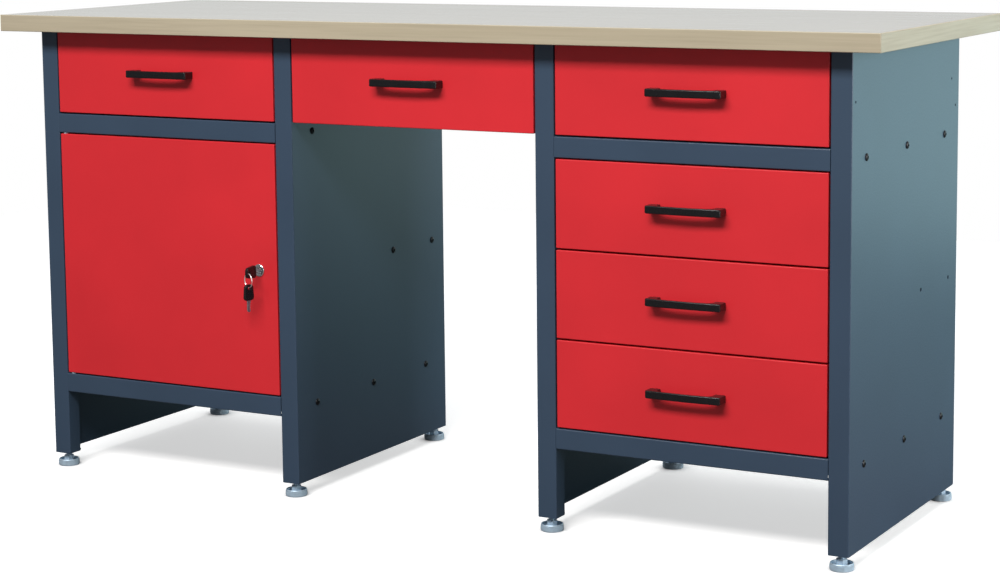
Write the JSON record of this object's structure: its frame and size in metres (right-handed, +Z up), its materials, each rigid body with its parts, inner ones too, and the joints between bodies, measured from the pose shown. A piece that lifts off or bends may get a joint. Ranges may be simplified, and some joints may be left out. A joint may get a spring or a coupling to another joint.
{
  "type": "workbench with drawers",
  "caption": "Steel workshop bench: wooden worktop over pedestals with sliding drawers, a locking cabinet door, an open knee space and levelling feet.",
  "frame": {"origin": "on the floor, under the middle of the worktop", "axes": "+X along the bench to the right as a user faces it, +Y to the back, +Z up; drawers and door open towards -Y"},
  "size_m": [1.7, 0.608, 0.85],
  "materials": {
    "worktop": "pale wood-grain laminate, satin",
    "blue_steel": "blue-grey powder coat, fine texture",
    "red_steel": "red powder coat, fine texture",
    "black_plastic": "black, satin",
    "zinc": "bright zinc plate",
    "chrome": "polished"
  },
  "bodies": {
    "frame": {"worktop": "worktop", "side_panel_left_outer": "blue_steel", "side_panel_left_inner": "blue_steel", "side_panel_right_inner": "blue_steel", "side_panel_right_outer": "blue_steel", "divider_left": "blue_steel", "divider_right": "blue_steel", "bottom_plate_left": "blue_steel", "bottom_plate_right": "blue_steel", "back_panel_left": "blue_steel", "back_panel_right": "blue_steel", "rear_crossbar": "blue_steel", "cabinet_shelf": "blue_steel", "runner_left_left": "zinc", "runner_right_left": "zinc", "runner_left_centre": "zinc", "runner_right_centre": "zinc", "runner_left_right_1": "zinc", "runner_right_right_1": "zinc", "runner_left_right_2": "zinc", "runner_right_right_2": "zinc", "runner_left_right_3": "zinc", "runner_right_right_3": "zinc", "runner_left_right_4": "zinc", "runner_right_right_4": "zinc"},
    "drawer_left": {"drawer_box_left": "blue_steel", "drawer_front_left": "red_steel", "drawer_handle_left": "black_plastic"},
    "drawer_centre": {"drawer_box_centre": "blue_steel", "drawer_front_centre": "red_steel", "drawer_handle_centre": "black_plastic"},
    "drawer_right_1": {"drawer_box_right_1": "blue_steel", "drawer_front_right_1": "red_steel", "drawer_handle_right_1": "black_plastic"},
    "drawer_right_2": {"drawer_box_right_2": "blue_steel", "drawer_front_right_2": "red_steel", "drawer_handle_right_2": "black_plastic"},
    "drawer_right_3": {"drawer_box_right_3": "blue_steel", "drawer_front_right_3": "red_steel", "drawer_handle_right_3": "black_plastic"},
    "drawer_right_4": {"drawer_box_right_4": "blue_steel", "drawer_front_right_4": "red_steel", "drawer_handle_right_4": "black_plastic"},
    "door": {"door_panel": "red_steel", "door_hinge_pin_lower": "zinc", "door_hinge_pin_upper": "zinc", "lock_housing": "chrome"},
    "lock": {"lock_plug": "chrome", "lock_cam": "zinc"},
    "main_key": {"key": "black_plastic"},
    "ring": {"key_ring": "zinc"},
    "spare": {"spare_key": "black_plastic"},
    "levelling_left_outer_front": {"foot_left_outer_front": "zinc"},
    "levelling_left_outer_rear": {"foot_left_outer_rear": "zinc"},
    "levelling_left_inner_front": {"foot_left_inner_front": "zinc"},
    "levelling_left_inner_rear": {"foot_left_inner_rear": "zinc"},
    "levelling_right_inner_front": {"foot_right_inner_front": "zinc"},
    "levelling_right_inner_rear": {"foot_right_inner_rear": "zinc"},
    "levelling_right_outer_front": {"foot_right_outer_front": "zinc"},
    "levelling_right_outer_rear": {"foot_right_outer_rear": "zinc"}
  },
  "joints": [
    {"name": "drawer_slide_left", "type": "slide", "parent": "frame", "child": "drawer_left", "axis": [0, -1, 0], "range_m": [0, 0.36]},
    {"name": "drawer_slide_centre", "type": "slide", "parent": "frame", "child": "drawer_centre", "axis": [0, -1, 0], "range_m": [0, 0.36]},
    {"name": "drawer_slide_right_1", "type": "slide", "parent": "frame", "child": "drawer_right_1", "axis": [0, -1, 0], "range_m": [0, 0.36]},
    {"name": "drawer_slide_right_2", "type": "slide", "parent": "frame", "child": "drawer_right_2", "axis": [0, -1, 0], "range_m": [0, 0.36]},
    {"name": "drawer_slide_right_3", "type": "slide", "parent": "frame", "child": "drawer_right_3", "axis": [0, -1, 0], "range_m": [0, 0.36]},
    {"name": "drawer_slide_right_4", "type": "slide", "parent": "frame", "child": "drawer_right_4", "axis": [0, -1, 0], "range_m": [0, 0.36]},
    {"name": "door_hinge", "type": "hinge", "parent": "frame", "child": "door", "pos_m": [-0.7435, -0.254, 0.18175], "axis": [0, 0, -1], "range_deg": [0, 110]},
    {"name": "lock_turn", "type": "hinge", "parent": "door", "child": "lock", "pos_m": [-0.315, -0.26, 0.4048], "axis": [0, -1, 0], "range_deg": [0, 90]},
    {"name": "key_pull", "type": "slide", "parent": "lock", "child": "main_key", "axis": [0, -1, 0], "range_m": [0, 0.03]},
    {"name": "key_ring_swing", "type": "hinge", "parent": "main_key", "child": "ring", "pos_m": [-0.315, -0.294, 0.4039], "axis": [1, 0, 0], "range_deg": [-15, 15]},
    {"name": "spare_key_hang", "type": "hinge", "parent": "ring", "child": "spare", "pos_m": [-0.315, -0.294, 0.3914], "axis": [-0.4067, -0.9135, 0], "range_deg": [-90, 0]},
    {"name": "foot_screw_left_outer_front", "type": "slide", "parent": "frame", "child": "levelling_left_outer_front", "axis": [0, 0, -1], "range_m": [0, 0.015]},
    {"name": "foot_screw_left_outer_rear", "type": "slide", "parent": "frame", "child": "levelling_left_outer_rear", "axis": [0, 0, -1], "range_m": [0, 0.015]},
    {"name": "foot_screw_left_inner_front", "type": "slide", "parent": "frame", "child": "levelling_left_inner_front", "axis": [0, 0, -1], "range_m": [0, 0.015]},
    {"name": "foot_screw_left_inner_rear", "type": "slide", "parent": "frame", "child": "levelling_left_inner_rear", "axis": [0, 0, -1], "range_m": [0, 0.015]},
    {"name": "foot_screw_right_inner_front", "type": "slide", "parent": "frame", "child": "levelling_right_inner_front", "axis": [0, 0, -1], "range_m": [0, 0.015]},
    {"name": "foot_screw_right_inner_rear", "type": "slide", "parent": "frame", "child": "levelling_right_inner_rear", "axis": [0, 0, -1], "range_m": [0, 0.015]},
    {"name": "foot_screw_right_outer_front", "type": "slide", "parent": "frame", "child": "levelling_right_outer_front", "axis": [0, 0, -1], "range_m": [0, 0.015]},
    {"name": "foot_screw_right_outer_rear", "type": "slide", "parent": "frame", "child": "levelling_right_outer_rear", "axis": [0, 0, -1], "range_m": [0, 0.015]}
  ],
  "couplings": [
    {"joint": "spare_key_hang", "follows": "lock_turn", "ratio": -1}
  ]
}
